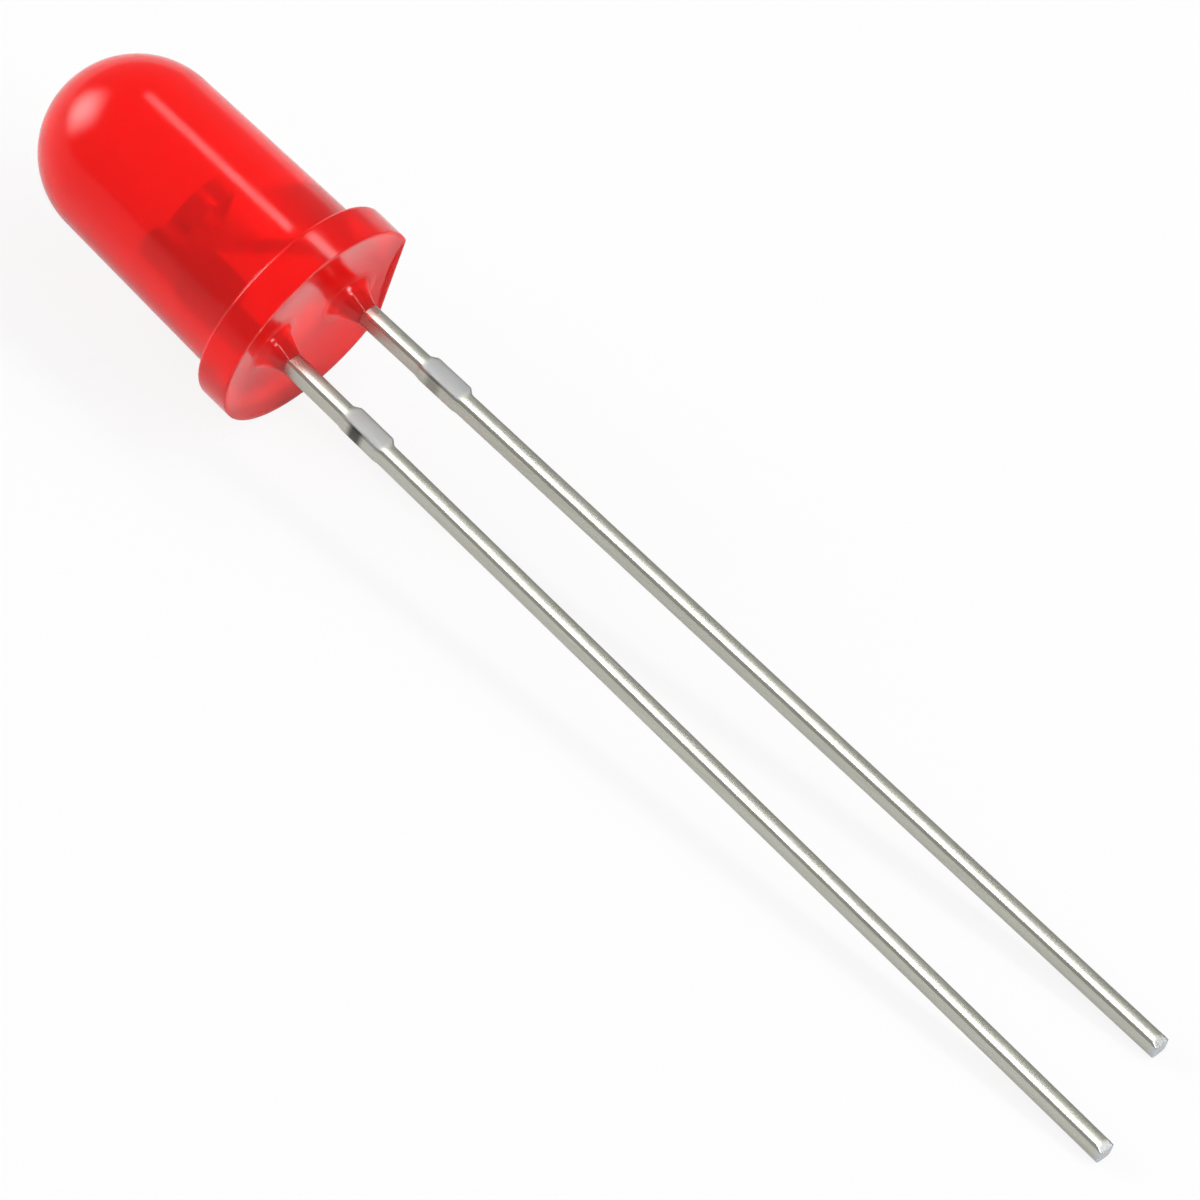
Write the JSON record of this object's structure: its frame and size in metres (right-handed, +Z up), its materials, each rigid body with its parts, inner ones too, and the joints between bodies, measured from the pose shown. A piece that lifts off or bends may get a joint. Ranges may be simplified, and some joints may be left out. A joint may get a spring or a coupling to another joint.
{
  "type": "through-hole light-emitting diode",
  "caption": "Round red through-hole light-emitting diode: tinted epoxy dome lens with a flange and a cathode flat, on a long anode lead and a shorter cathode lead.",
  "frame": {"origin": "on the table, under the middle of the diode's box as it lies at rest", "axes": "+X along the table towards the tips of the leads, -Y on the anode's side, +Y on the side of the cathode and its flat, +Z up"},
  "size_m": [0.0364, 0.0056, 0.006],
  "materials": {
    "tinted_epoxy": "clear red tinted casting resin, glossy",
    "tinned_steel": "stamped steel, tin plated, satin",
    "silver_adhesive": "silver-filled adhesive, dull",
    "semiconductor": "sawn crystal, smooth",
    "gold": "drawn gold wire, bright"
  },
  "bodies": {
    "root": {"lens": "tinted_epoxy", "cathode_lead": "tinned_steel", "anode_lead": "tinned_steel", "die_attach": "silver_adhesive", "led_die": "semiconductor", "bond_wire": "gold"}
  },
  "joints": []
}
